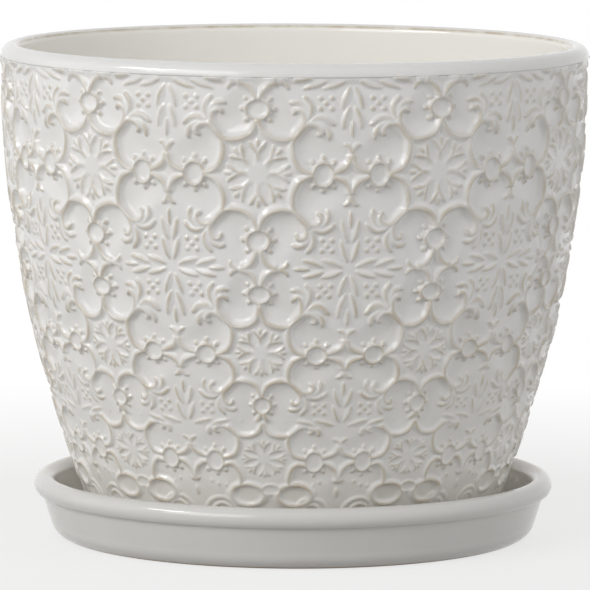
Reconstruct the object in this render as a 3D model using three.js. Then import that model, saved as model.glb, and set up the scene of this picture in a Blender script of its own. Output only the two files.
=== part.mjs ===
// A bell planter: a glazed ceramic pot with a drain hole, standing in its own saucer.
// Millimetres, +Z up. The origin is on the ground under the middle of the saucer.

import * as THREE from 'three';

// Driving dimensions of the pot
const mouthWidth = 203.2;
const potHeight = 165.4;
const footWidth = 138.6;
const bellPower = 2.04;
const wall = 6.2;
const potFloor = 7.5;
const innerCorner = 7;
const footEdge = 2.8;
const footRingWidth = 9;
const footRingHeight = 1.5;
const drainWidth = 14;
const rimHeight = 4.6;
const rimStand = 0.4;
const rimOuterRound = 4;
const rimInnerRound = 2.6;

// Driving dimensions of the saucer
const saucerWidth = 180.2;
const saucerHeight = 21.7;
const saucerFootWidth = 155.2;
const saucerFloor = 5.7;
const saucerWall = 4.9;
const saucerCove = 6.5;
const saucerRingWidth = 11;
const saucerRingHeight = 1.2;
const saucerCornerWidth = 6.7;
const saucerCornerHeight = 6.5;
const saucerFlare = 2.3;
const saucerLipHeight = 8.8;
const saucerLipStand = 3.4;
const saucerLipWidth = 7.3;
const saucerLipRound = 3.6;

// The pot's foot ring stands this far over the saucer's floor
const restClearance = 0.3;

const turns = 80;
const recessSlope = 1.2;

// Points on a quarter of an ellipse about (r, z), from one angle to another in degrees
function arc(r, z, width, height, from, to, steps) {
  const points = [];
  for (let i = 0; i <= steps; i += 1) {
    const angle = THREE.MathUtils.degToRad(from + ((to - from) * i) / steps);
    points.push(new THREE.Vector2(r + width * Math.cos(angle), z + height * Math.sin(angle)));
  }
  return points;
}

// A turned piece about Z, from an outline that runs from axis to axis or closes on itself
function turned(name, outline, material) {
  const geometry = new THREE.LatheGeometry(outline, turns);
  geometry.rotateX(Math.PI / 2);
  const mesh = new THREE.Mesh(geometry, material);
  mesh.name = name;
  return mesh;
}

// Heights and radii that both pieces or both faces of the pot's wall share
const potFoot = saucerFloor + restClearance;
const lipTop = potFoot + potHeight;
const rimUnder = lipTop - rimHeight;
const mouthRadius = mouthWidth / 2;
const footRadius = footWidth / 2;

// The bell's outside: nearly upright at the rim, drawn in more and more towards the foot
function bellRadius(height) {
  const down = Math.max(rimUnder - height, 0) / (rimUnder - potFoot);
  const shoulder = mouthRadius - rimStand;
  return shoulder - (shoulder - footRadius) * down ** bellPower;
}

function potOutline() {
  const drain = drainWidth / 2;
  const floorUnder = potFoot + footRingHeight;
  const floorTop = potFoot + potFloor;
  const ringOuter = bellRadius(potFoot + footEdge) - footEdge;
  const ringInner = ringOuter - footRingWidth;
  const outline = [
    new THREE.Vector2(drain, floorUnder),
    new THREE.Vector2(ringInner - recessSlope, floorUnder),
    new THREE.Vector2(ringInner, potFoot),
  ];
  outline.push(...arc(ringOuter, potFoot + footEdge, footEdge, footEdge, -90, 0, 3));

  const outsideSteps = 13;
  const outsideFrom = potFoot + footEdge;
  for (let i = 1; i <= outsideSteps; i += 1) {
    const height = outsideFrom + ((rimUnder - outsideFrom) * i) / outsideSteps;
    outline.push(new THREE.Vector2(bellRadius(height), height));
  }

  const lipWidth = rimOuterRound + rimInnerRound;
  const crestRadius = mouthRadius - rimOuterRound;
  outline.push(...arc(crestRadius, lipTop - rimOuterRound, rimOuterRound, rimOuterRound, 0, 90, 4));
  outline.push(...arc(crestRadius, lipTop - rimInnerRound, rimInnerRound, rimInnerRound, 90, 180, 3).slice(1));

  const insideSteps = 11;
  const insideFrom = lipTop - lipWidth;
  const insideTo = floorTop + innerCorner;
  for (let i = 0; i <= insideSteps; i += 1) {
    const height = insideFrom + ((insideTo - insideFrom) * i) / insideSteps;
    outline.push(new THREE.Vector2(bellRadius(height) - wall, height));
  }
  const cornerRadius = bellRadius(insideTo) - wall - innerCorner;
  outline.push(...arc(cornerRadius, insideTo, innerCorner, innerCorner, 0, -90, 4).slice(1));
  outline.push(new THREE.Vector2(drain, floorTop), outline[0]);
  return outline;
}

function saucerOutline() {
  const lipOuter = saucerWidth / 2;
  const footOuter = saucerFootWidth / 2;
  const ringInner = footOuter - saucerRingWidth;
  const wallOuter = footOuter + saucerCornerWidth;
  const crease = saucerHeight - saucerLipHeight;
  const creaseRadius = wallOuter + saucerFlare;
  const lipInner = lipOuter - saucerLipWidth;
  const crest = saucerHeight - saucerLipRound;
  const outline = [
    new THREE.Vector2(0, saucerRingHeight),
    new THREE.Vector2(ringInner - recessSlope, saucerRingHeight),
    new THREE.Vector2(ringInner, 0),
  ];
  outline.push(...arc(footOuter, saucerCornerHeight, saucerCornerWidth, saucerCornerHeight, -90, 0, 5));
  outline.push(new THREE.Vector2(creaseRadius, crease));
  outline.push(new THREE.Vector2(creaseRadius + saucerLipStand * 0.5, crease + saucerLipRound * 0.55));
  outline.push(...arc(lipOuter - saucerLipRound, crest, saucerLipRound, saucerLipRound, -12, 90, 5));
  const innerRound = saucerLipWidth - saucerLipRound;
  outline.push(...arc(lipInner + innerRound, crest, innerRound, saucerLipRound, 90, 180, 4).slice(1));

  const coveTop = saucerFloor + saucerCove;
  const coveOuter = creaseRadius - saucerWall;
  outline.push(...arc(coveOuter - saucerCove, coveTop, saucerCove, saucerCove, 0, -90, 4));
  outline.push(new THREE.Vector2(0, saucerFloor));
  return outline;
}

const potGlaze = new THREE.MeshStandardMaterial({ color: 0xe6e2da, roughness: 0.22, metalness: 0 });
const saucerGlaze = new THREE.MeshStandardMaterial({ color: 0xe4e1dc, roughness: 0.24, metalness: 0 });

const planter = new THREE.Group();
planter.add(turned('saucer', saucerOutline(), saucerGlaze));
planter.add(turned('pot', potOutline(), potGlaze));

export default planter;
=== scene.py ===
import math

import bmesh
import bpy
import numpy as np
from mathutils import Matrix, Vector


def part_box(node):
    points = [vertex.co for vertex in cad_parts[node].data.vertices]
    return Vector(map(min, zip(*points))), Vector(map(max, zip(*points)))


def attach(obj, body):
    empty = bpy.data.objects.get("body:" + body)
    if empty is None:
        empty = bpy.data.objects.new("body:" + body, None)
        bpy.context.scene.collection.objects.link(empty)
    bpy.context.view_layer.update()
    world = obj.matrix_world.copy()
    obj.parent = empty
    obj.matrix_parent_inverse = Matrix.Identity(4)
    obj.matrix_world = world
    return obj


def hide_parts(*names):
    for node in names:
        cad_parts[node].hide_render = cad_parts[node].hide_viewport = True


# A bell planter in white glaze, with an embossed tile ornament, standing in its saucer.
# Profiles are in millimetres and meshes in metres. The front is -Y and +Z is up.

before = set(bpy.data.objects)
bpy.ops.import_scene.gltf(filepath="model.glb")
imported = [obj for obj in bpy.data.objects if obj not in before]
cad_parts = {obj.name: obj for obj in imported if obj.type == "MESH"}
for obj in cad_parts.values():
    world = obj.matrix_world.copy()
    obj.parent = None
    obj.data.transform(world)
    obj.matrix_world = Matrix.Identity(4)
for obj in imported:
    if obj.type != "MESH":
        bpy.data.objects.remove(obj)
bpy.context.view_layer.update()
MM = 0.001

# The CAD model gives the outer sizes of the two pieces
saucer_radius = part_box("saucer")[1].x / MM
saucer_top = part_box("saucer")[1].z / MM
pot_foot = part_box("pot")[0].z / MM
lip_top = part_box("pot")[1].z / MM
mouth_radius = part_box("pot")[1].x / MM

# The pot, as the CAD model has it
foot_radius = 69.3
bell_power = 2.04
wall = 6.2
floor_thickness = 7.5
inner_corner = 7
foot_edge = 2.8
foot_ring_width = 9
foot_ring_height = 1.5
recess_slope = 1.2
drain_radius = 7
drain_round = 1
rim_height = 4.6
rim_stand = 0.4
rim_outer_round = 4
rim_inner_round = 2.6
rim_under = lip_top - rim_height

# The saucer, as the CAD model has it
saucer_foot_radius = 77.6
saucer_floor = 5.7
saucer_wall = 4.9
saucer_cove = 6.5
saucer_ring_width = 11
saucer_ring_height = 1.2
saucer_corner_width = 6.7
saucer_corner_height = 6.5
saucer_flare = 2.3
saucer_lip_height = 8.8
saucer_lip_width = 7.3
saucer_lip_round = 3.6

# What the CAD model leaves out, in millimetres and degrees. Sharp corners are eased a little,
# the saucer's bottom edge runs straight on into its wall, and its lip tucks under to a crease.
ease_in = 0.3
ease_up = 0.25
ease_out = 0.2
ease_down = 0.1
ring_outer_ease = 0.6
saucer_ring_ease = 0.8
drain_margin = 3
recess_margin = 1
inside_drop = 2.5
corner_margin = 2
saucer_edge_stop = -17
saucer_lip_under = -58
saucer_recess_margin = 0.8
saucer_inside_in = 0.15
saucer_inside_drop = 1
SAUCER_NECK = [(0.45, 1.4), (0.65, 1.85), (1.15, 2.1)]
RIM_UNDERSIDE = [(1.6506, -0.9), (0.75, -0.45), (0.42, -0.1), (0.13, 0.2)]

# Steps round a turned piece, and how the bake map is shared out: round such a piece, and on a
# panel's front and back
turn_steps = 256
uv_turn = 0.99
uv_front = 0.92
uv_back_start = 0.93
uv_back = 0.06

# The hand-finished body's waves: how deep, how many round, their twist and where they start
WAVES = [(0.07, 3, 0.021, 0.6), (0.05, 7, -0.045, 0), (0.03, 16, 0.11, 0)]

# The ornament: tiles round the pot, their rows, how far the ground lies under the bell, and how
# the relief fades and ends towards the foot and under the rim
tiles_round = 10
pitch = 360 / tiles_round
rosette_angle = -7
upper_row_middle = 134.75
upper_row_height = 63.5
middle_row_middle = 75.75
middle_row_height = 54.5
lower_row_top = 48.5
lower_rosette_height = 37.4
lower_unit = 43.5
ground_depth = 0.85
rim_fillet_low = 2.6
rim_fillet_high = 0.2
rim_fillet_rise = 0.15
panel_toe = 1.2
panel_toe_depth = 0.12
foot_fade = 0.42
foot_fade_range = (105, 30)
relief_start = 1
relief_full = 4

# The bowls that the lobes enclose, and the glaze over it all
dish_round = 3.4
dish_start = 0.3
dish_span = 0.6
dish_power = 1.3
glaze_softness = 0.17

# Where the glaze is thin: on edges, in a haze low on the pot, in its low places and on the lips.
# A range gives two heights: where it begins on the way down, and where it is full.
break_reach = 0.8
break_start = 0.04
break_span = 0.18
break_strength = 0.57
break_low_gain = 0.14
break_low_range = (165, 35)
haze = 0.10
haze_range = (95, 45)
pool = 0.25
pool_range = (45, 20)
pool_height = 0.5
pool_span = 0.8
pot_lip_break = 0.9
pot_lip_break_width = 0.55
pot_lip_break_share = 0.75
pot_lip_break_drop = 0.9
saucer_lip_break = 0.8
saucer_lip_break_width = 0.5
saucer_lip_break_share = 0.8

# Where the lining starts inside the lips, and how far up from a piece's foot its clay is bare
lining_start = 1.2
lining_blend = 0.6
lining_floor_margin = 0.5
saucer_lining_blend = 2
pot_bare_height = 0.3
saucer_bare_height = 0.8
bare_margin = 0.5

# The relief panels' meshes. Their heights are worked out on a grid twice as fine.
panel_low = 9.4
panel_high = 167
panel_columns = 160
panel_rows = 440
panel_back_rows = 40
panel_depth = 2.6
core_depth = 1.9
core_start = 1.4
core_step = 1
fine = 2
middle_height = 90


# Shapes on paper

def arc(r, z, width, height, start, stop, steps):
    """Points on an ellipse about (r, z), from one angle to another in degrees."""
    angles = np.radians(np.linspace(start, stop, steps + 1))
    return [(r + width * math.cos(a), z + height * math.sin(a)) for a in angles]


def bell_radius(height):
    """The bell's outside: nearly upright at the rim, drawn in more and more towards the foot."""
    down = np.maximum(rim_under - height, 0) / (rim_under - pot_foot)
    shoulder = mouth_radius - rim_stand
    return shoulder - (shoulder - foot_radius) * down ** bell_power


def bell_slope(height):
    """How fast the bell's radius grows with height."""
    return (bell_radius(height + 0.01) - bell_radius(height - 0.01)) / 0.02


def ground_radius(height):
    """The ground that the ornament stands on."""
    return bell_radius(height) - ground_depth


def curve(points, steps=6):
    """A smooth curve through the points."""
    p = np.array(points, float)
    p = np.vstack([2 * p[0] - p[1], p, 2 * p[-1] - p[-2]])
    t = np.linspace(0, 1, steps, endpoint=False)[:, None]
    stretches = []
    for a, b, c, d in zip(p[:-3], p[1:-2], p[2:-1], p[3:]):
        bend = (2 * a - 5 * b + 4 * c - d) * t ** 2 + (3 * b - a - 3 * c + d) * t ** 3
        stretches.append(0.5 * (2 * b + (c - a) * t + bend))
    stretches.append(p[-2:-1])
    return np.vstack(stretches)


def smooth_step(value, low, high):
    """0 below low, 1 above high and a soft rise between them."""
    t = np.clip((value - low) / (high - low), 0, 1)
    return t * t * (3 - 2 * t)


def lower_down(z, high, low):
    """0 above the height high, 1 below the height low and a soft rise between them."""
    return smooth_step(-z, -high, -low)


def nearest(x, y, path):
    """Distance to a path, how far along it the nearest point lies, and on which side."""
    best = np.full(x.shape, 9.0)
    along = np.zeros(x.shape)
    side = np.zeros(x.shape)
    lengths = np.hypot(*np.diff(path, axis=0).T)
    starts = np.r_[0, np.cumsum(lengths)]
    for i, (a, b) in enumerate(zip(path[:-1], path[1:])):
        dx, dy = b - a
        t = np.clip(((x - a[0]) * dx + (y - a[1]) * dy) / (dx * dx + dy * dy), 0, 1)
        distance = np.hypot(x - a[0] - t * dx, y - a[1] - t * dy)
        closer = distance < best - 1e-9
        best = np.where(closer, distance, best)
        along = np.where(closer, (starts[i] + t * lengths[i]) / starts[-1], along)
        side = np.where(closer, np.sign(dx * (y - a[1]) - dy * (x - a[0])), side)
    return best, along, side


def within(x, y, path):
    """Whether each point lies inside the closed path."""
    odd = np.zeros(x.shape, bool)
    for (ax, ay), (bx, by) in zip(path, np.roll(path, -1, axis=0)):
        if ay != by:
            crosses = (ay > y) != (by > y)
            odd ^= crosses & (x < (bx - ax) * (y - ay) / (by - ay) + ax)
    return odd


# The ornament's strokes. A tile is one unit each way and its rosette is at (0, 0). The tile
# mirrors about its middle lines and diagonals, so a stroke is given once: towards the flower,
# then to its side.
BIG_LOBE = [(.296, .004), (.272, .009), (.247, .019), (.219, .039), (.197, .074), (.186, .112),
            (.184, .151), (.192, .186), (.214, .212), (.242, .238), (.266, .257), (.290, .267),
            (.316, .263)]
SMALL_LOBE = [(.406, .012), (.432, .022), (.458, .036), (.480, .058), (.493, .086), (.496, .112)]
ARM = [(.493, .080), (.497, .104), (.493, .130), (.479, .150), (.456, .162)]
HOOK = [(.286, .267), (.312, .265), (.332, .252), (.341, .232), (.335, .213), (.312, .203)]
TAIL = [(.306, .274), (.334, .273), (.358, .260), (.375, .238), (.382, .211), (.374, .180)]
CRESCENT = [(.298, .284), (.330, .298), (.362, .298), (.390, .284), (.416, .258)]
PRONG = [(.102, .008), (.120, .016), (.135, .027), (.149, .041)]

# The corner cross's leaves, from the corner along its arm and to the side
LEAVES = [[(.034, .010), (.075, .030), (.120, .043), (.160, .050)],
          [(.138, .012), (.180, .030), (.225, .042), (.264, .048)],
          [(.215, .000), (.262, .000), (.312, .000)]]

shoulder_width = 0.038
lip_width = 0.019
open_width = 0.05
lobe_fade = 0.05
lobe_fade_end = 0.08
cup_place = 0.349
north_cup_place = 0.343
cup_radius = 0.057
cup_flatness = 0.93
cup_skirt = 1.34
cup_floor = 0.25
dot_angles = (48, 90, 132)
dot_ring = 0.083
dot_radius = 0.0145
dot_length = 1.3
corner_place = 0.374
corner_spread = 0.028
corner_dot_radius = 0.0145
petal_start = 0.042
petal_length = 0.108
petal_half_width = 0.033
rib_end = 0.135
rib_width = 0.009
rib_flare = 0.008
bud_place = 0.142
bud_radius = 0.0125
bud_length = 2
prong_width = 0.006
prong_swell = 0.007
leaf_steep = 0.015
leaf_gentle = 0.032
upper_rosette_size = 1.10
middle_rosette_size = 0.92
lower_rosette_size = 0.92
upper_rosette_drop = -0.007
middle_rosette_drop = 0.024

# The lower rows' tiles are drawn wider towards their middle line, and the middle row's are
# stretched: from the heights on the pot to the heights in the tile
widening = 0.025
MIDDLE_STRETCH = [(-.500, -.500), (-.360, -.349), (-.203, -.184), (-.040, .000), (.060, .104),
                  (.140, .184), (.220, .262), (.335, .347), (.500, .500)]

# Heights over the ground, in millimetres
rim_high = 1.42
dish_deep = 1.45
cup_high = 1.25
dot_high = 0.75
corner_dot_high = 0.7
leaf_high = 1.1
hook_high = 1.25
arm_high = 1.0
tail_high = 1.0
crescent_high = 1.1
bud_high = 0.9
prong_high = 0.81
rib_high = 0.5
petal_deep = 0.36


def dome(distance, radius):
    """A half-round boss: 1 at its middle and 0 at its edge."""
    return np.sqrt(np.clip(1 - (distance / radius) ** 2, 0, 1))


def ridge(distance, width):
    """A rounded ridge: 1 on its crest and 0 at its foot."""
    return np.clip(1 - (distance / width) ** 2, 0, 1)


def tapered(along):
    """A stroke's width: pointed at both ends and full in the middle."""
    return np.sqrt(np.clip(4 * along * (1 - along), 0, 1))


def lobe(distance, share):
    """A lobe's rim. It rolls down on the outside, and drops where the share of hollow is 1."""
    roll = 1 - smooth_step(distance, 0, shoulder_width)
    drop = np.exp(-(distance / lip_width) ** 2)
    return rim_high * (roll + (drop - roll) * share)


def flower(x, y, height):
    """The flower's cup about (0, 0), which hides what runs under it, and its two rows of dots."""
    r = np.hypot(x / cup_flatness, y * cup_flatness) / cup_radius
    skirt = cup_high * (1 - smooth_step(r, 1, cup_skirt))
    bowl = cup_high * (cup_floor + (1 - cup_floor) * r ** 6)
    height = np.where(r < 1, bowl, np.maximum(height, skirt))
    for degrees in dot_angles:
        turn = math.radians(degrees)
        out = x * math.cos(turn) + np.abs(y) * math.sin(turn) - dot_ring
        across = np.abs(y) * math.cos(turn) - x * math.sin(turn)
        dot = dome(np.hypot(out / dot_length, across), dot_radius)
        height = np.maximum(height, dot_high * dot)
    return height


def along_arm(a, b, degrees):
    """How far out along an arm at this angle a point lies, and how far beside it."""
    turn = math.radians(degrees)
    return a * math.cos(turn) + b * math.sin(turn), np.abs(b * math.cos(turn) - a * math.sin(turn))


def rosette(x, y, height):
    """Eight dished petals between ribs that end in three small buds each."""
    a = np.maximum(np.abs(x), np.abs(y))
    b = np.minimum(np.abs(x), np.abs(y))
    x, y = along_arm(a, b, 22.5)
    t = np.clip((x - petal_start) / petal_length, 0, 1)
    half = petal_half_width * np.sqrt(t * (1 - t ** 3)) + 1e-6
    q = np.clip(y / half, 0, 1)
    petal = petal_deep * (1 - q ** 4) * smooth_step(t, 0, .18) * (1 - smooth_step(t, .72, 1))
    height = np.where((t > 0) & (t < 1), height - petal, height)
    for degrees in (0, 45):
        x, y = along_arm(a, b, degrees)
        rib = rib_high * ridge(y, rib_width + rib_flare * smooth_step(x, .05, .12))
        rib = rib * smooth_step(x, .04, .10) * (x < rib_end)
        bud = bud_high * dome(np.hypot((x - bud_place) / bud_length, y), bud_radius)
        distance, along, _ = nearest(x, y, curve(PRONG))
        prong = prong_high * ridge(distance, prong_width + prong_swell * np.sin(np.pi * along))
        for shape in (rib, bud, prong):
            height = np.where(shape > 0, np.maximum(height, shape), height)
    return height


def leaves(x, y, height, strokes):
    """Leaves that slope up from a stem to a sharp outer edge."""
    for points in strokes:
        distance, along, side = nearest(x, y, curve(points))
        full = tapered(along)
        width = np.where(side > 0, leaf_steep, leaf_gentle) * np.clip(full, 0.1, 1)
        rise = np.clip(1 - distance / width, 0, 1) ** np.where(side > 0, 0.8, 1.2)
        height = np.maximum(height, leaf_high * rise * full)
    return height


def stroke(a, b, height, points, high, steep, gentle, start):
    """A ridge with a pointed end, steep on one side and gentle on the other.

    Start is the share of the whole stroke that lies before the first point: 0 starts it pointed.
    """
    distance, along, side = nearest(a, b, curve(points))
    full = tapered(start + (1 - start) * along)
    width = np.where(side > 0, steep, gentle) * np.clip(full, 0.3, 1)
    return np.maximum(height, high * ridge(distance, width) * np.clip(2 * full, 0, 1))


def hollow_lobe(a, b, near, far):
    """Two rims with an opening between their ends: their height, and where the hollow lies."""
    inside = within(a, b, np.vstack([near, far[::-1]]))
    reach = []
    for path in (near, far):
        distance, along, _ = nearest(a, b, path)
        reach.append(distance + lobe_fade * (1 - smooth_step(1 - along, 0, lobe_fade_end)))
    from_opening, _, _ = nearest(a, b, np.array([near[-1], far[-1]]))
    hollow = inside * smooth_step(from_opening, 0, open_width)
    return lobe(np.minimum(*reach), hollow), hollow


def scrolls(a, b):
    """The lobes round a flower with the small strokes at their ends, and their hollows."""
    height, hollow = hollow_lobe(a, b, curve(BIG_LOBE), curve(SMALL_LOBE))
    height = stroke(a, b, height, HOOK, hook_high, steep=0.022, gentle=0.026, start=0.5)
    height = stroke(a, b, height, ARM, arm_high, steep=0.016, gentle=0.026, start=0.35)
    height = stroke(a, b, height, TAIL, tail_high, steep=0.018, gentle=0.028, start=0.2)
    height = stroke(a, b, height, CRESCENT, crescent_high, steep=0.018, gentle=0.030, start=0.2)
    return height, hollow


def widened(u, share):
    """The place in the tile that lands at u when its sides are drawn wider."""
    return u + widening * np.sin(2 * np.pi * u) * share


def tile(u, v, x, y, rosette_size, rosette_drop):
    """Height over the ground and where the hollows lie, for tile coordinates from -0.5 to 0.5.

    The lobes and the cross are drawn at (u, v); the rosette and the top flower's cup at (x, y).
    """
    a = np.maximum(np.abs(u), np.abs(v))
    b = np.minimum(np.abs(u), np.abs(v))
    height, hollow = scrolls(a, b)
    north = y > np.abs(x)
    out = np.where(north, y - north_cup_place, a - cup_place)
    height = flower(out, np.where(north, np.abs(x), b), height)
    for p, q in ((0.5 - a, 0.5 - b), (0.5 - b, 0.5 - a)):
        height = leaves(p, np.abs(q), height, LEAVES)
    for p, q in ((0, 0), (1, 1), (-1, -1), (1, -1), (-1, 1)):
        away = np.hypot(a - corner_place - p * corner_spread, b - corner_place - q * corner_spread)
        height = np.maximum(height, corner_dot_high * dome(away, corner_dot_radius))
    return rosette(x / rosette_size, (y + rosette_drop) / rosette_size, height), hollow


# The lowest row is pressed flat: its upper half is the tile's own, and below the flowers' cups
# its lobes run down to a flat flower above the foot
LOWER_NEAR = [(.302, -.056), (.275, -.046), (.246, -.046), (.212, -.076), (.191, -.128),
              (.186, -.180), (.203, -.238)]
LOWER_FAR = [(.388, -.038), (.412, -.034), (.438, -.042), (.474, -.082), (.492, -.130),
             (.493, -.170), (.468, -.195)]
flat_cup_place = 0.355
flat_cup_height = -0.022
flat_cup_tall = 1.28
foot_flower_height = 24.5
foot_flower_shift = 0.04
foot_lobe_place = 0.165
foot_lobe_width = 0.118
foot_lobe_tall = 0.086
foot_cup_width = 0.060
foot_cup_tall = 0.040
foot_cup_up = 0.045
foot_cup_skirt = 1.4
foot_high = 0.9
foot_scroll_place = 0.345
foot_scroll_height = 18.6
foot_scroll_radius = 0.105
FOOT_SCROLL_TURNS = [(1, 0.022), (0.55, 0.018)]
FOOT_MARKS = [(0.30, 27.6), (0.352, 27.9), (0.395, 29.0)]
foot_mark_high = 0.5
foot_mark_radius = 0.014
foot_mark_width = 0.8
foot_mark_tall = 1.3
foot_stem_high = 0.8
foot_stem_height = 25.4
foot_stem_width = 0.016
foot_stem_tall = 0.042
seam_rise = 2.1
seam_blend = 1.1
rim_press = 0.014


def lower_row(u, z):
    """Height of the relief and where its hollows lie, in the lowest row."""
    v = (z - lower_rosette_height) / lower_unit
    a = np.abs(widened(u, 1))
    upper, upper_hollow = scrolls(np.maximum(a, v), np.minimum(a, v))
    height, hollow = hollow_lobe(a, v, curve(LOWER_NEAR), curve(LOWER_FAR))
    height = np.maximum(height, upper)
    hollow = np.maximum(hollow, upper_hollow)

    height = flower(a - flat_cup_place, (v - flat_cup_height) / flat_cup_tall, height)

    # The two flat lobes of the foot's flower, its small cup, and the scrolls beside it
    x = u - foot_flower_shift
    y = (z - foot_flower_height) / lower_unit
    reach = np.hypot((np.abs(x) - foot_lobe_place) / foot_lobe_width, y / foot_lobe_tall)
    height = np.maximum(height, lobe(np.abs(reach - 1) * foot_lobe_tall, reach < 1))
    hollow = np.maximum(hollow, reach < 1)
    cup = np.hypot(x / foot_cup_width, (y - foot_cup_up) / foot_cup_tall)
    skirt = foot_high * (1 - smooth_step(cup, 1, foot_cup_skirt))
    height = np.where(cup < 1, foot_high * cup ** 3, np.maximum(height, skirt))
    scroll = np.hypot(a - foot_scroll_place, (z - foot_scroll_height) / lower_unit)
    for size, width in FOOT_SCROLL_TURNS:
        height = np.maximum(height, foot_high * ridge(scroll - size * foot_scroll_radius, width))

    # Three small marks and a short stem between the flowers
    for place, up in FOOT_MARKS:
        away = np.hypot((a - place) / foot_mark_width, (z - up) / lower_unit / foot_mark_tall)
        height = np.maximum(height, foot_mark_high * dome(away, foot_mark_radius))
    stem_up = (z - foot_stem_height) / lower_unit
    stem = np.hypot((0.5 - a) / foot_stem_width, stem_up / foot_stem_tall)
    height = np.maximum(height, foot_stem_high * dome(stem, 1))
    return rosette(u / lower_rosette_size, v / lower_rosette_size, height), hollow


def upper_row(u, z):
    """The top row of tiles. Under the rim its flowers are pressed down a little."""
    v = (z - upper_row_middle) / upper_row_height
    v = v + rim_press * smooth_step(v, 0.36, 0.46) * (1 - smooth_step(np.abs(u), 0.18, 0.28))
    v = np.clip(v, -0.5, 0.5)
    narrow = 0.7 * smooth_step(v, 0.18, 0.3) * (1 - smooth_step(v, 0.4, 0.47))
    return tile(widened(u, narrow), v, u, v, upper_rosette_size, upper_rosette_drop)


def middle_row(u, z):
    """The middle row of tiles, wider in its lower part."""
    v = np.clip((z - middle_row_middle) / middle_row_height, -0.5, 0.5)
    stretch = curve(MIDDLE_STRETCH)
    high = np.interp(v, stretch[:, 0], stretch[:, 1])
    wide = widened(u, 1 - smooth_step(v, 0.25, 0.45))
    return tile(wide, high, u, v, middle_rosette_size, middle_rosette_drop)


def pressed_rows(u, z):
    """The three rows of the mould, one above the other: their height, and where hollows lie."""
    height = np.zeros(u.shape)
    hollow = np.zeros(u.shape)
    upper = z[:, 0] >= upper_row_middle - upper_row_height / 2
    middle = ~upper & (z[:, 0] >= lower_row_top - 1)
    lower = z[:, 0] < lower_row_top + seam_rise + 1
    height[upper], hollow[upper] = upper_row(u[upper], z[upper])
    height[middle], hollow[middle] = middle_row(u[middle], z[middle])
    # The lowest row's seam is level at the crosses and arches over its rosettes
    seam = lower_row_top + seam_rise * (1 - smooth_step(np.abs(u), 0.17, 0.26))
    share = smooth_step(z, seam - seam_blend, seam + seam_blend)[lower]
    for layer, row in zip((height, hollow), lower_row(u[lower], z[lower])):
        layer[lower] = layer[lower] * share + row * (1 - share)
    return height, hollow


# The grid steps of the relief, in millimetres
grid_across = np.pi * bell_radius(middle_height) / 180 * pitch / (panel_columns * fine)
grid_up = (panel_high - panel_low) / (panel_rows * fine)


def soften(height, size):
    """Rounds the relief as glaze does, over a size in millimetres; it wraps round the tile."""
    ring = height[:, :-1]
    for axis, sigma, mode in ((1, size / grid_across, "wrap"), (0, size / grid_up, "edge")):
        reach = int(3 * sigma + 1)
        weights = np.exp(-0.5 * (np.arange(-reach, reach + 1) / sigma) ** 2)
        weights /= weights.sum()
        pad = [(0, 0), (0, 0)]
        pad[axis] = (reach, reach)
        padded = np.pad(ring, pad, mode=mode)
        total = np.zeros(ring.shape)
        for i, weight in enumerate(weights):
            piece = [slice(None), slice(None)]
            piece[axis] = slice(i, i + ring.shape[axis])
            total += weight * padded[tuple(piece)]
        ring = total
    return np.hstack([ring, ring[:, :1]])


def thin_glaze(height, z):
    """How thin the glaze lies: most on sharp edges, and a little all over the pot's lower part."""
    edge = height - soften(height, break_reach) - break_start
    thin = np.clip(edge / break_span, 0, 1)
    thin *= break_strength + break_low_gain * lower_down(z, *break_low_range)
    thin = np.maximum(thin, haze * lower_down(z, *haze_range))
    low = np.clip((pool_height - height) / pool_span, 0, 1)
    return np.maximum(thin, pool * lower_down(z, *pool_range) * low)


def relief():
    """The panel's heights in millimetres, from the foot up, and where the glaze is thin."""
    u, z = np.meshgrid(np.linspace(-0.5, 0.5, panel_columns * fine + 1),
                       np.linspace(panel_low, panel_high, panel_rows * fine + 1))
    height, hollow = pressed_rows(u, z)
    bowl = np.clip((soften(hollow, dish_round) - dish_start) / dish_span, 0, 1) ** dish_power
    height -= dish_deep * bowl * (1 - np.clip(height / rim_high, 0, 1))
    # It fades towards the foot, and under the rim and at the foot it ends in a fillet
    height *= 1 - foot_fade * lower_down(z, *foot_fade_range)
    height *= smooth_step(z, panel_low + relief_start, panel_low + relief_full)
    height = soften(height, glaze_softness)
    thin = thin_glaze(height, z)
    fillet = smooth_step(z, rim_under - rim_fillet_low, rim_under + rim_fillet_high)
    height += (ground_depth + rim_fillet_rise) * fillet
    height -= panel_toe_depth * (1 - smooth_step(z, panel_low, panel_low + panel_toe))
    return height[::fine, ::fine], thin[::fine, ::fine]


# Meshes

def wobble(angle, height):
    """How far the hand-finished body is out of round, in millimetres."""
    return sum(deep * np.sin(count * angle + twist * height + start)
               for deep, count, twist, start in WAVES)


def coordinates(mesh):
    """The mesh's vertices as rows of x, y and z."""
    co = np.empty(len(mesh.vertices) * 3)
    mesh.vertices.foreach_get("co", co)
    return co.reshape(-1, 3)


def sway(mesh):
    """Moves every vertex out or in with the body's wobble."""
    co = coordinates(mesh)
    angle = np.arctan2(co[:, 0], -co[:, 1])
    radius = np.hypot(co[:, 0], co[:, 1])
    factor = 1 + wobble(angle, co[:, 2] / MM) * MM / np.maximum(radius, 0.02)
    co[:, :2] *= factor[:, None]
    mesh.vertices.foreach_set("co", co.ravel())
    mesh.update()


def mark(mesh, name, values):
    """Stores one number a vertex under a name, for the materials to read."""
    attribute = mesh.attributes.new(name, "FLOAT", "POINT")
    attribute.data.foreach_set("value", np.asarray(values, np.float32))


def link(name, mesh, material):
    """A piece in the scene, with its place in its mesh."""
    piece = bpy.data.objects.new(name, mesh)
    mesh.materials.append(material)
    bpy.context.scene.collection.objects.link(piece)
    return piece


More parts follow.
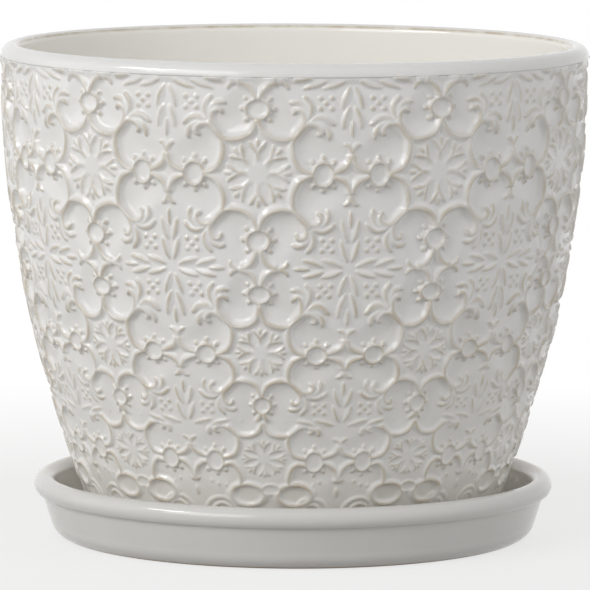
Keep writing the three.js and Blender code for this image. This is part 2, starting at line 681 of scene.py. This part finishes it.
def turned(name, outline, closed, material, thin, bare, lined):
    """A piece turned about Z from its outline, with marks for thin glaze, bare clay and lining."""
    bm = bmesh.new()
    along_layer = bm.verts.layers.float.new("along")
    points = np.array(outline)
    lengths = np.hypot(*np.diff(points, axis=0).T)
    along = np.r_[0, np.cumsum(lengths)]
    verts = []
    for (r, z), share in zip(points, along / (along[-1] + 1)):
        vert = bm.verts.new((0, -r * MM, z * MM))
        vert[along_layer] = share
        verts.append(vert)
    pairs = list(zip(verts, verts[1:]))
    if closed:
        pairs.append((verts[-1], verts[0]))
    edges = [bm.edges.new(pair) for pair in pairs]
    bmesh.ops.spin(bm, geom=verts + edges, cent=(0, 0, 0), axis=(0, 0, 1), angle=2 * math.pi,
                   steps=turn_steps, use_merge=True)
    bmesh.ops.remove_doubles(bm, verts=bm.verts, dist=0.00001)
    bmesh.ops.recalc_face_normals(bm, faces=bm.faces)
    for face in bm.faces:
        face.smooth = True
    mesh = bpy.data.meshes.new(name)
    bm.to_mesh(mesh)
    bm.free()

    co = coordinates(mesh) / MM
    radius = np.hypot(co[:, 0], co[:, 1])
    mark(mesh, "thin", thin(radius, co[:, 2]))
    mark(mesh, "bare", bare(radius, co[:, 2]))
    mark(mesh, "lined", lined(radius, co[:, 2]))
    wrap_uv(mesh)
    return link(name, mesh, material)


def wrap_uv(mesh):
    """A UV map for baking, that goes round the piece and along its outline."""
    along = np.empty(len(mesh.vertices))
    mesh.attributes["along"].data.foreach_get("value", along)
    corners = np.empty(len(mesh.loops), int)
    mesh.loops.foreach_get("vertex_index", corners)
    sizes = np.empty(len(mesh.polygons), int)
    mesh.polygons.foreach_get("loop_total", sizes)
    co = coordinates(mesh)[corners]
    turn = np.arctan2(co[:, 0], -co[:, 1]) / (2 * math.pi) + 0.5
    face = np.repeat(np.arange(len(sizes)), sizes)
    first = np.r_[0, np.cumsum(sizes)[:-1]]
    highest = np.maximum.reduceat(turn, first)[face]
    turn = np.where(highest - turn > 0.5, turn + 1, turn)
    share = along[corners]
    highest = np.maximum.reduceat(share, first)[face]
    share = np.where(highest - share > 0.5, 1, share)
    uv = mesh.uv_layers.new(name="OFBake")
    flat = np.column_stack([turn * uv_turn, share])
    uv.data.foreach_set("uv", flat.astype(np.float32).ravel())


def lip_break(radius, height, line_radius, line_height, width):
    """1 on a line round the lip, where the glaze runs thin, and 0 away from it."""
    away = np.hypot(radius - line_radius, height - line_height)
    return np.exp(-(away / width) ** 2)


def pot_body(material):
    """The pot without its ornament: lip, inside, floor, foot, and a core under the panels."""
    floor_under = pot_foot + foot_ring_height
    floor_top = pot_foot + floor_thickness
    ring_outer = ground_radius(pot_foot + foot_edge) - foot_edge
    ring_inner = ring_outer - foot_ring_width
    recess = ring_inner - recess_slope
    crest = mouth_radius - rim_outer_round
    drain = drain_radius + drain_round
    drain_edge = drain_radius + drain_margin

    outline = arc(drain, floor_under + drain_round, drain_round, drain_round, 180, 270, 4)
    outline += np.linspace((drain_edge, floor_under), (recess - recess_margin, floor_under), 12).tolist()
    outline += [(recess, floor_under - ease_down), (ring_inner - ease_in, pot_foot + ease_up)]
    outline += np.linspace((ring_inner + ease_out, pot_foot),
                           (ring_outer - ring_outer_ease, pot_foot), 5).tolist()
    outline += arc(ring_outer, pot_foot + foot_edge, foot_edge, foot_edge, -90, 0, 8)
    for height in np.linspace(pot_foot + foot_edge + ease_out, panel_low + core_start, 10):
        outline.append((ground_radius(height), height))
    for height in np.linspace(panel_low + core_start + core_step, rim_under - core_start, 90):
        outline.append((ground_radius(height) - core_depth, height))
    outline += [(mouth_radius - inward, rim_under + up) for inward, up in RIM_UNDERSIDE]
    outline += arc(crest, lip_top - rim_outer_round, rim_outer_round, rim_outer_round, -6, 90, 16)
    outline += arc(crest, lip_top - rim_inner_round, rim_inner_round, rim_inner_round, 90, 180, 12)[1:]
    inside_from = lip_top - rim_outer_round - rim_inner_round
    inside_to = floor_top + inner_corner
    for height in np.linspace(inside_from + inside_drop, inside_to, 70):
        outline.append((bell_radius(height) - wall, height))
    corner = bell_radius(inside_to) - wall - inner_corner
    outline += arc(corner, inside_to, inner_corner, inner_corner, 0, -90, 10)[1:]
    outline += np.linspace((corner - corner_margin, floor_top), (drain_edge, floor_top), 24).tolist()
    outline += arc(drain, floor_top - drain_round, drain_round, drain_round, 90, 180, 4)

    def thin(radius, height):
        line_radius = crest - rim_inner_round * pot_lip_break_share
        line_height = lip_top - pot_lip_break_drop
        line = lip_break(radius, height, line_radius, line_height, pot_lip_break_width)
        return pot_lip_break * line

    def bare(radius, height):
        low = height < pot_foot + pot_bare_height
        return np.where(low & (radius > ring_inner - bare_margin), 1.0, 0.0)

    def lined(radius, height):
        inner = crest - lining_start - radius
        over_floor = height > floor_top - lining_floor_margin
        return smooth_step(inner, -lining_blend, lining_blend) * over_floor

    piece = turned("pot_body", outline, True, material, thin, bare, lined)
    sway(piece.data)
    return piece


def relief_panel():
    """One tile's width of the ornament, from foot to rim, as a closed shell."""
    bm = bmesh.new()
    start = math.radians(rosette_angle - pitch / 2)
    front = [(ground_radius(z), z) for z in np.linspace(panel_low, panel_high, panel_rows + 1)]
    back = [(ground_radius(z) - panel_depth, z)
            for z in np.linspace(panel_high, panel_low, panel_back_rows + 1)]
    verts = []
    for r, z in front + back:
        place = (r * math.sin(start) * MM, -r * math.cos(start) * MM, z * MM)
        verts.append(bm.verts.new(place))
    edges = [bm.edges.new(pair) for pair in zip(verts, verts[1:] + verts[:1])]
    bmesh.ops.spin(bm, geom=verts + edges, cent=(0, 0, 0), axis=(0, 0, 1),
                   angle=math.radians(pitch), steps=panel_columns)
    ends = [edge for edge in bm.edges if edge.is_boundary]
    caps = bmesh.ops.edgeloop_fill(bm, edges=ends)["faces"]
    bmesh.ops.recalc_face_normals(bm, faces=bm.faces)
    for face in bm.faces:
        face.smooth = True
    for face in caps:
        face.smooth = False
        for edge in face.edges:
            edge.smooth = False
    mesh = bpy.data.meshes.new("relief_panel")
    bm.to_mesh(mesh)
    bm.free()

    # Every vertex of the front moves out along the bell's slope by the ornament's height there
    co = coordinates(mesh) / MM
    radius = np.hypot(co[:, 0], co[:, 1])
    angle = np.degrees(np.arctan2(co[:, 0], -co[:, 1]))
    outer = radius > ground_radius(co[:, 2]) - panel_depth / 2
    share = (angle - rosette_angle) / pitch + 0.5
    column = np.rint(share * panel_columns).astype(int).clip(0, panel_columns)
    climb = (co[:, 2] - panel_low) / (panel_high - panel_low)
    row = np.rint(climb * panel_rows).astype(int).clip(0, panel_rows)
    height, thin = relief()
    rise = np.where(outer, height[row, column], 0)
    slope = bell_slope(co[:, 2])
    steep = np.sqrt(1 + slope ** 2)
    co[:, :2] *= (1 + rise / steep / radius)[:, None]
    co[:, 2] -= rise * slope / steep
    mesh.vertices.foreach_set("co", (co * MM).ravel())
    mark(mesh, "thin", np.where(outer, thin[row, column], 0))
    mark(mesh, "bare", np.zeros(len(co)))
    mark(mesh, "lined", np.zeros(len(co)))

    corners = np.empty(len(mesh.loops), int)
    mesh.loops.foreach_get("vertex_index", corners)
    across = np.where(outer, share * uv_front, uv_back_start + share * uv_back)
    flat = np.column_stack([across, climb])
    uv = mesh.uv_layers.new(name="OFBake")
    uv.data.foreach_set("uv", flat[corners].astype(np.float32).ravel())
    mesh.update()
    return mesh


def relief_panels(material):
    """The ornament all round the pot, as turned copies of one panel."""
    panel = relief_panel()
    pieces = []
    for i in range(tiles_round):
        name = f"pot_relief_{i + 1:02d}"
        mesh = panel.copy()
        mesh.name = name
        mesh.transform(Matrix.Rotation(math.radians(i * pitch), 4, "Z"))
        sway(mesh)
        pieces.append(link(name, mesh, material))
    bpy.data.meshes.remove(panel)
    return pieces


def saucer(material):
    """The saucer: rolled lip, cove, and a bare foot ring under it."""
    ring_inner = saucer_foot_radius - saucer_ring_width
    wall_outer = saucer_foot_radius + saucer_corner_width
    crease = saucer_top - saucer_lip_height
    crease_radius = wall_outer + saucer_flare
    crest = saucer_top - saucer_lip_round
    lip_inner = saucer_radius - saucer_lip_width
    inner_round = saucer_lip_width - saucer_lip_round

    recess = ring_inner - recess_slope
    outline = np.linspace((0, saucer_ring_height),
                          (recess - saucer_recess_margin, saucer_ring_height), 16).tolist()
    outline += [(recess, saucer_ring_height - ease_down), (ring_inner - ease_in, ease_out)]
    outline += np.linspace((ring_inner + ease_out, 0),
                           (saucer_foot_radius - saucer_ring_ease, 0), 6).tolist()
    outline += arc(saucer_foot_radius, saucer_corner_height, saucer_corner_width,
                   saucer_corner_height, -90, saucer_edge_stop, 14)
    lip = arc(saucer_radius - saucer_lip_round, crest, saucer_lip_round, saucer_lip_round,
              saucer_lip_under, 90, 26)
    neck = [(crease_radius + outward, crease + up) for outward, up in SAUCER_NECK]
    outline += np.linspace(outline[-1], neck[0], 12).tolist()[1:]
    outline += [tuple(point) for point in curve(neck + lip[:1], 4)[1:-1]]
    outline += lip
    outline += arc(lip_inner + inner_round, crest, inner_round, saucer_lip_round, 90, 180, 14)[1:]
    cove_top = saucer_floor + saucer_cove
    cove_outer = crease_radius - saucer_wall
    cove_inner = cove_outer - saucer_cove
    outline += np.linspace((lip_inner - saucer_inside_in, crest - saucer_inside_drop),
                           (cove_outer, cove_top), 6).tolist()
    outline += arc(cove_inner, cove_top, saucer_cove, saucer_cove, 0, -90, 12)[1:]
    outline += np.linspace((cove_inner - corner_margin, saucer_floor), (0, saucer_floor), 24).tolist()

    def thin(radius, height):
        line_radius = lip_inner + inner_round * saucer_lip_break_share
        line = lip_break(radius, height, line_radius, saucer_top, saucer_lip_break_width)
        return saucer_lip_break * line

    def bare(radius, height):
        low = height < saucer_bare_height
        return np.where(low & (radius > ring_inner - bare_margin), 1.0, 0.0)

    def lined(radius, height):
        inner = lip_inner + saucer_lining_blend - radius
        over_floor = height > saucer_floor - lining_floor_margin
        return smooth_step(inner, 0, saucer_lining_blend) * over_floor

    return turned("saucer_dish", outline, False, material, thin, bare, lined)


# Materials

# How fine each pattern of the glaze is, in features a metre, and its pinholes
cloud_scale = 28
gloss_scale = 60
ripple_scale = 110
break_scale = 160
clay_scale = 900
pinhole_scale = 75
pinhole_size = 0.03
pinhole_depth = 1.5

# What both glazes share
glaze_gloss = 0.13
glaze_ripple = 0.05
glaze_ior = 1.5
glaze_shine = 0.36

# The lining is the inside's own cream glaze, and painted light as well: it is set lighter than the
# outside glaze to stand for the light that reaches inside the pot and the saucer.
POT_COLOURS = {"Glaze": (0.81, 0.797, 0.782), "Cloud": (0.785, 0.772, 0.752),
               "LiningAndPaintedLight": (0.93, 0.905, 0.86), "Break": (0.51, 0.415, 0.285),
               "Clay": (0.42, 0.30, 0.19)}
SAUCER_COLOURS = {"Glaze": (0.69, 0.675, 0.655), "Cloud": (0.665, 0.65, 0.625),
                  "LiningAndPaintedLight": (0.84, 0.815, 0.765), "Break": (0.56, 0.46, 0.28),
                  "Clay": (0.40, 0.28, 0.17)}


def new_group(name, inputs, outputs):
    """A shader node group with named sockets, and its input and output nodes."""
    group = bpy.data.node_groups.new(name, "ShaderNodeTree")
    for socket, kind, value in inputs:
        made = group.interface.new_socket(socket, in_out="INPUT", socket_type=kind)
        made.default_value = value
    for socket, kind in outputs:
        group.interface.new_socket(socket, in_out="OUTPUT", socket_type=kind)
    return group, group.nodes.new("NodeGroupInput"), group.nodes.new("NodeGroupOutput")


def noise(nodes, links, place, scale, detail):
    """Soft noise at a place."""
    node = nodes.new("ShaderNodeTexNoise")
    node.inputs["Scale"].default_value = scale
    node.inputs["Detail"].default_value = detail
    links.new(place, node.inputs["Vector"])
    return node.outputs["Fac"]


def ranged(nodes, links, value, low, high, to_low, to_high):
    """A value stretched from one range to another, and held inside it."""
    node = nodes.new("ShaderNodeMapRange")
    node.inputs["From Min"].default_value = low
    node.inputs["From Max"].default_value = high
    node.inputs["To Min"].default_value = to_low
    node.inputs["To Max"].default_value = to_high
    links.new(value, node.inputs["Value"])
    return node.outputs["Result"]


def blended(nodes, links, factor, first, second):
    """Mixes two colours, each a socket."""
    node = nodes.new("ShaderNodeMix")
    node.data_type = "RGBA"
    links.new(factor, node.inputs["Factor"])
    links.new(first, node.inputs["A"])
    links.new(second, node.inputs["B"])
    return node.outputs["Result"]


def combined(nodes, links, operation, first, second):
    """Two values added or multiplied, or the larger of them."""
    node = nodes.new("ShaderNodeMath")
    node.operation = operation
    links.new(first, node.inputs[0])
    links.new(second, node.inputs[1])
    return node.outputs[0]


def glaze_colour_group():
    """Glaze that clouds a little, is a lighter cream inside, partly painted light, breaks brown where it
    is thin and leaves the foot bare.
    """
    group, entry, leave = new_group(
        "glaze_colour",
        [("Glaze", "NodeSocketColor", (0.8, 0.8, 0.8, 1)),
         ("Cloud", "NodeSocketColor", (0.8, 0.8, 0.8, 1)),
         ("LiningAndPaintedLight", "NodeSocketColor", (0.8, 0.8, 0.7, 1)),
         ("Break", "NodeSocketColor", (0.5, 0.4, 0.3, 1)),
         ("Clay", "NodeSocketColor", (0.4, 0.3, 0.2, 1)),
         ("Lined", "NodeSocketFloat", 0.0),
         ("Thin", "NodeSocketFloat", 0.0),
         ("Bare", "NodeSocketFloat", 0.0)],
        [("Colour", "NodeSocketColor")])
    nodes = group.nodes
    links = group.links
    place = nodes.new("ShaderNodeTexCoord").outputs["Object"]
    cloud = ranged(nodes, links, noise(nodes, links, place, cloud_scale, 3), 0.35, 0.7, 0, 1)
    colour = blended(nodes, links, cloud, entry.outputs["Glaze"], entry.outputs["Cloud"])
    # Inside the lips the lining colour takes over: its cream tone is the glaze's own, and its extra
    # lightness is painted light.
    colour = blended(nodes, links, entry.outputs["Lined"], colour, entry.outputs["LiningAndPaintedLight"])
    patchy = ranged(nodes, links, noise(nodes, links, place, break_scale, 2), 0.3, 0.65, 0.35, 1)
    thin = combined(nodes, links, "MULTIPLY", entry.outputs["Thin"], patchy)
    colour = blended(nodes, links, thin, colour, entry.outputs["Break"])
    colour = blended(nodes, links, entry.outputs["Bare"], colour, entry.outputs["Clay"])
    links.new(colour, leave.inputs["Colour"])
    return group


def glaze_surface_group():
    """Roughness and height of a glaze: smooth, faintly rippled, with a few pinholes."""
    group, entry, leave = new_group(
        "glaze_surface",
        [("Gloss", "NodeSocketFloat", 0.15),
         ("Matt", "NodeSocketFloat", 0.6),
         ("Bare", "NodeSocketFloat", 0.0)],
        [("Roughness", "NodeSocketFloat"), ("Height", "NodeSocketFloat")])
    nodes = group.nodes
    links = group.links
    place = nodes.new("ShaderNodeTexCoord").outputs["Object"]
    patchy = ranged(nodes, links, noise(nodes, links, place, gloss_scale, 2), 0.3, 0.7, 0.8, 1.25)
    gloss = combined(nodes, links, "MULTIPLY", entry.outputs["Gloss"], patchy)
    rough = nodes.new("ShaderNodeMix")
    links.new(entry.outputs["Bare"], rough.inputs["Factor"])
    links.new(gloss, rough.inputs["A"])
    links.new(entry.outputs["Matt"], rough.inputs["B"])
    links.new(rough.outputs["Result"], leave.inputs["Roughness"])

    ripple = noise(nodes, links, place, ripple_scale, 1)
    grain = noise(nodes, links, place, clay_scale, 2)
    grain = combined(nodes, links, "MULTIPLY", grain, entry.outputs["Bare"])
    holes = nodes.new("ShaderNodeTexVoronoi")
    holes.inputs["Scale"].default_value = pinhole_scale
    links.new(place, holes.inputs["Vector"])
    pit = ranged(nodes, links, holes.outputs["Distance"], 0, pinhole_size, -pinhole_depth, 0)
    height = combined(nodes, links, "ADD", combined(nodes, links, "ADD", ripple, grain), pit)
    links.new(height, leave.inputs["Height"])
    return group


def glaze(name, colour_group, surface_group, colours):
    """A glazed ceramic, from the two groups and this piece's own colours."""
    material = bpy.data.materials.new(name)
    material.use_nodes = True
    nodes = material.node_tree.nodes
    links = material.node_tree.links
    shader = nodes["Principled BSDF"]
    shader.inputs["IOR"].default_value = glaze_ior
    shader.inputs["Specular IOR Level"].default_value = glaze_shine
    marks = {}
    for attribute in ("lined", "thin", "bare"):
        node = nodes.new("ShaderNodeAttribute")
        node.attribute_name = attribute
        marks[attribute] = node.outputs["Fac"]

    colour = nodes.new("ShaderNodeGroup")
    colour.node_tree = colour_group
    for socket, value in colours.items():
        colour.inputs[socket].default_value = (*value, 1)
    for attribute, value in marks.items():
        links.new(value, colour.inputs[attribute.capitalize()])
    links.new(colour.outputs["Colour"], shader.inputs["Base Color"])

    surface = nodes.new("ShaderNodeGroup")
    surface.node_tree = surface_group
    surface.inputs["Gloss"].default_value = glaze_gloss
    links.new(marks["bare"], surface.inputs["Bare"])
    links.new(surface.outputs["Roughness"], shader.inputs["Roughness"])
    bump = nodes.new("ShaderNodeBump")
    bump.inputs["Strength"].default_value = 1
    bump.inputs["Distance"].default_value = glaze_ripple * MM
    links.new(surface.outputs["Height"], bump.inputs["Height"])
    links.new(bump.outputs["Normal"], shader.inputs["Normal"])
    return material


# The studio

# The photograph's camera, fitted to the outlines of the lip and the saucer
picture_width = 590
camera_focus_pixels = 5983.814
camera_middle_pixel = 293.818
camera_height = 0.318849
camera_distance = 2.064582
camera_pitch = 6.5
camera_roll = 0.25
camera_sensor = 36
camera_reach = 30

# The level of the light from all round, the floor, and where it fades to white
ambient_light = 0.37
floor_size = 6
floor_colour = (0.52, 0.515, 0.50, 1)
floor_glow = 1.12
floor_glow_share = 0.65
floor_fade_start = 0.16
floor_fade_end = 0.42
lamp_distance = 1.6
lamp_aim_height = 0.09


def background_rays(nodes, links):
    """1 for rays that should see the plain white background, and 0 for the light on the object."""
    path = nodes.new("ShaderNodeLightPath")
    total = path.outputs["Is Camera Ray"]
    for name in ("Is Glossy Ray", "Is Transmission Ray"):
        total = combined(nodes, links, "MAXIMUM", total, path.outputs[name])
    return total


def studio_world():
    """Soft light from all round, in front of a plain white background."""
    world = bpy.data.worlds.new("studio")
    bpy.context.scene.world = world
    world.use_nodes = True
    nodes = world.node_tree.nodes
    links = world.node_tree.links
    nodes.clear()
    soft = nodes.new("ShaderNodeBackground")
    soft.inputs["Strength"].default_value = ambient_light
    white = nodes.new("ShaderNodeBackground")
    for node in (soft, white):
        node.inputs["Color"].default_value = (1, 1, 1, 1)
    mix = nodes.new("ShaderNodeMixShader")
    links.new(background_rays(nodes, links), mix.inputs[0])
    links.new(soft.outputs[0], mix.inputs[1])
    links.new(white.outputs[0], mix.inputs[2])
    out = nodes.new("ShaderNodeOutputWorld")
    links.new(mix.outputs[0], out.inputs["Surface"])


def studio_floor():
    """A pale floor that keeps a soft shadow near the object and runs out into white."""
    bm = bmesh.new()
    bmesh.ops.create_grid(bm, x_segments=1, y_segments=1, size=floor_size)
    mesh = bpy.data.meshes.new("floor")
    bm.to_mesh(mesh)
    bm.free()
    material = bpy.data.materials.new("floor")
    material.use_nodes = True
    nodes = material.node_tree.nodes
    links = material.node_tree.links
    nodes.clear()
    lit = nodes.new("ShaderNodeBsdfDiffuse")
    lit.inputs["Color"].default_value = floor_colour
    glow = nodes.new("ShaderNodeEmission")
    glow.inputs["Strength"].default_value = floor_glow
    plain = nodes.new("ShaderNodeEmission")
    shown = nodes.new("ShaderNodeMixShader")
    shown.inputs[0].default_value = floor_glow_share
    links.new(lit.outputs[0], shown.inputs[1])
    links.new(glow.outputs[0], shown.inputs[2])
    place = nodes.new("ShaderNodeTexCoord").outputs["Object"]
    away = nodes.new("ShaderNodeVectorMath")
    away.operation = "LENGTH"
    links.new(place, away.inputs[0])
    far = ranged(nodes, links, away.outputs["Value"], floor_fade_start, floor_fade_end, 0, 1)
    faded = nodes.new("ShaderNodeMixShader")
    links.new(far, faded.inputs[0])
    links.new(shown.outputs[0], faded.inputs[1])
    links.new(plain.outputs[0], faded.inputs[2])
    seen = nodes.new("ShaderNodeMixShader")
    links.new(background_rays(nodes, links), seen.inputs[0])
    links.new(lit.outputs[0], seen.inputs[1])
    links.new(faded.outputs[0], seen.inputs[2])
    out = nodes.new("ShaderNodeOutputMaterial")
    links.new(seen.outputs[0], out.inputs["Surface"])
    link("floor", mesh, material)


def softbox(name, direction, size, power, colour):
    """An area light aimed at the pot, in a direction that is given as its azimuth and elevation.

    The azimuth is from the front, and to the right is positive.
    """
    azimuth, elevation = direction
    light = bpy.data.lights.new(name, "AREA")
    light.shape = "RECTANGLE"
    light.size, light.size_y = size
    light.energy = power
    light.color = colour
    lamp = bpy.data.objects.new(name, light)
    bpy.context.scene.collection.objects.link(lamp)
    round_pot = Matrix.Rotation(math.radians(azimuth), 4, "Z")
    raised = Matrix.Rotation(math.radians(-elevation), 4, "X")
    away = Matrix.Translation((0, -lamp_distance, 0))
    facing = Matrix.Rotation(math.pi / 2, 4, "X")
    lamp.matrix_world = Matrix.Translation((0, 0, lamp_aim_height)) @ round_pot @ raised @ away @ facing
    return lamp


def studio_lamps():
    """A large key on the left, a fill on each side and behind, and a small lamp for the highlights."""
    softbox("key", (-40, 26), (1.05, 0.86), 12.6, (0.985, 0.998, 1))
    softbox("left", (-92, 14), (1.2, 1.2), 3.1, (1, 1, 1))
    # The highlights' lamp is seen only in the glaze, and the two last fills leave no glare on it
    softbox("glint", (-64, 34), (0.55, 0.3), 7.5, (1, 1, 1)).visible_diffuse = False
    softbox("right", (70, 12), (1.2, 1.2), 7, (0.965, 0.985, 1)).visible_glossy = False
    softbox("back", (180, 22), (1.2, 1.2), 6, (1, 1, 1)).visible_glossy = False


def studio_camera():
    """A long lens, a little above the pot and aimed slightly down."""
    data = bpy.data.cameras.new("camera")
    data.sensor_width = camera_sensor
    data.lens = camera_focus_pixels / picture_width * camera_sensor
    data.shift_x = (picture_width / 2 - camera_middle_pixel) / picture_width
    data.clip_end = camera_reach
    camera = bpy.data.objects.new("camera", data)
    bpy.context.scene.collection.objects.link(camera)
    aim = Matrix.Rotation(math.radians(90 - camera_pitch), 4, "X")
    roll = Matrix.Rotation(math.radians(camera_roll), 4, "Z")
    camera.matrix_world = Matrix.Translation((0, -camera_distance, camera_height)) @ aim @ roll
    bpy.context.scene.camera = camera


# The planter in its studio

studio_camera()
studio_world()
studio_floor()
studio_lamps()

colour_group = glaze_colour_group()
surface_group = glaze_surface_group()
pot_glaze = glaze("pot_glaze", colour_group, surface_group, POT_COLOURS)
saucer_glaze = glaze("saucer_glaze", colour_group, surface_group, SAUCER_COLOURS)

for piece in [pot_body(pot_glaze)] + relief_panels(pot_glaze):
    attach(piece, "pot")
    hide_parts("pot")
dish = saucer(saucer_glaze)
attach(dish, "saucer")
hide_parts("saucer")

bpy.context.scene.view_settings.view_transform = "Standard"
